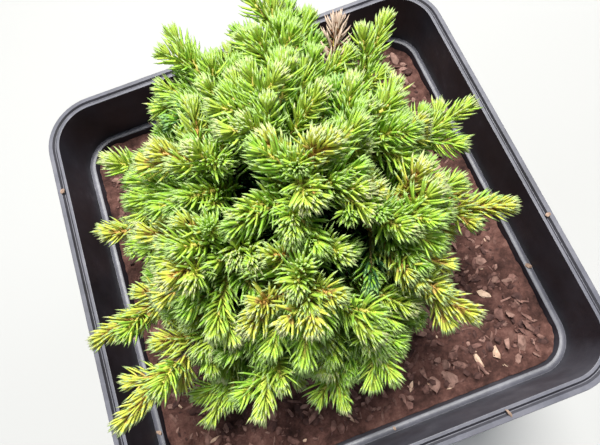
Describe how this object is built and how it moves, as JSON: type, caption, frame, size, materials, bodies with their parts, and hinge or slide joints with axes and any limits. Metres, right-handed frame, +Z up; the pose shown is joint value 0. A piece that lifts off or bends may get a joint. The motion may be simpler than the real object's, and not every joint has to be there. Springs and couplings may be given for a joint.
{
  "type": "potted conifer",
  "caption": "Dwarf evergreen conifer: a dense bun of needled shoots on a short stem, growing in bark compost in a square plastic nursery pot with a stepped collar.",
  "frame": {"origin": "centre of the pot's flat underside", "axes": "+Z up along the pot, -Y towards the front, where the leading shoots lie lower and to the left, +X to the right"},
  "size_m": [0.1572, 0.1572, 0.2067],
  "materials": {
    "pot": "satin black injection-moulded plastic, a little dusty",
    "compost": "moist composted bark chips",
    "bark": "thin flaking brown bark",
    "foliage": "slightly glossy evergreen needles, paler at the tips"
  },
  "bodies": {
    "root": {"pot": "pot", "compost": "compost", "trunk": "bark", "bough_low_back_right": "bark", "foliage_low_back_right": "foliage", "bough_low_back": "bark", "foliage_low_back": "foliage", "bough_low_back_left": "bark", "foliage_low_back_left": "foliage", "bough_low_left": "bark", "foliage_low_left": "foliage", "bough_low_front_left": "bark", "foliage_low_front_left": "foliage", "bough_low_front": "bark", "foliage_low_front": "foliage", "bough_low_front_right": "bark", "foliage_low_front_right": "foliage", "bough_low_right": "bark", "foliage_low_right": "foliage", "bough_left": "bark", "foliage_left": "foliage", "bough_left_leader": "bark", "foliage_left_leader": "foliage", "bough_front_left_leader": "bark", "foliage_front_left_leader": "foliage", "bough_front": "bark", "foliage_front": "foliage", "bough_front_right": "bark", "foliage_front_right": "foliage", "bough_front_right_leader": "bark", "foliage_front_right_leader": "foliage", "bough_right_leader": "bark", "foliage_right_leader": "foliage", "bough_right": "bark", "foliage_right": "foliage", "bough_back_right_leader": "bark", "foliage_back_right_leader": "foliage", "bough_back": "bark", "foliage_back": "foliage", "bough_back_left": "bark", "foliage_back_left": "foliage", "bough_upper_back_right": "bark", "foliage_upper_back_right": "foliage", "bough_upper_back": "bark", "foliage_upper_back": "foliage", "bough_upper_left": "bark", "foliage_upper_left": "foliage", "bough_upper_front_left": "bark", "foliage_upper_front_left": "foliage", "bough_upper_front": "bark", "foliage_upper_front": "foliage", "bough_upper_right": "bark", "foliage_upper_right": "foliage", "foliage_top": "foliage"}
  },
  "joints": []
}
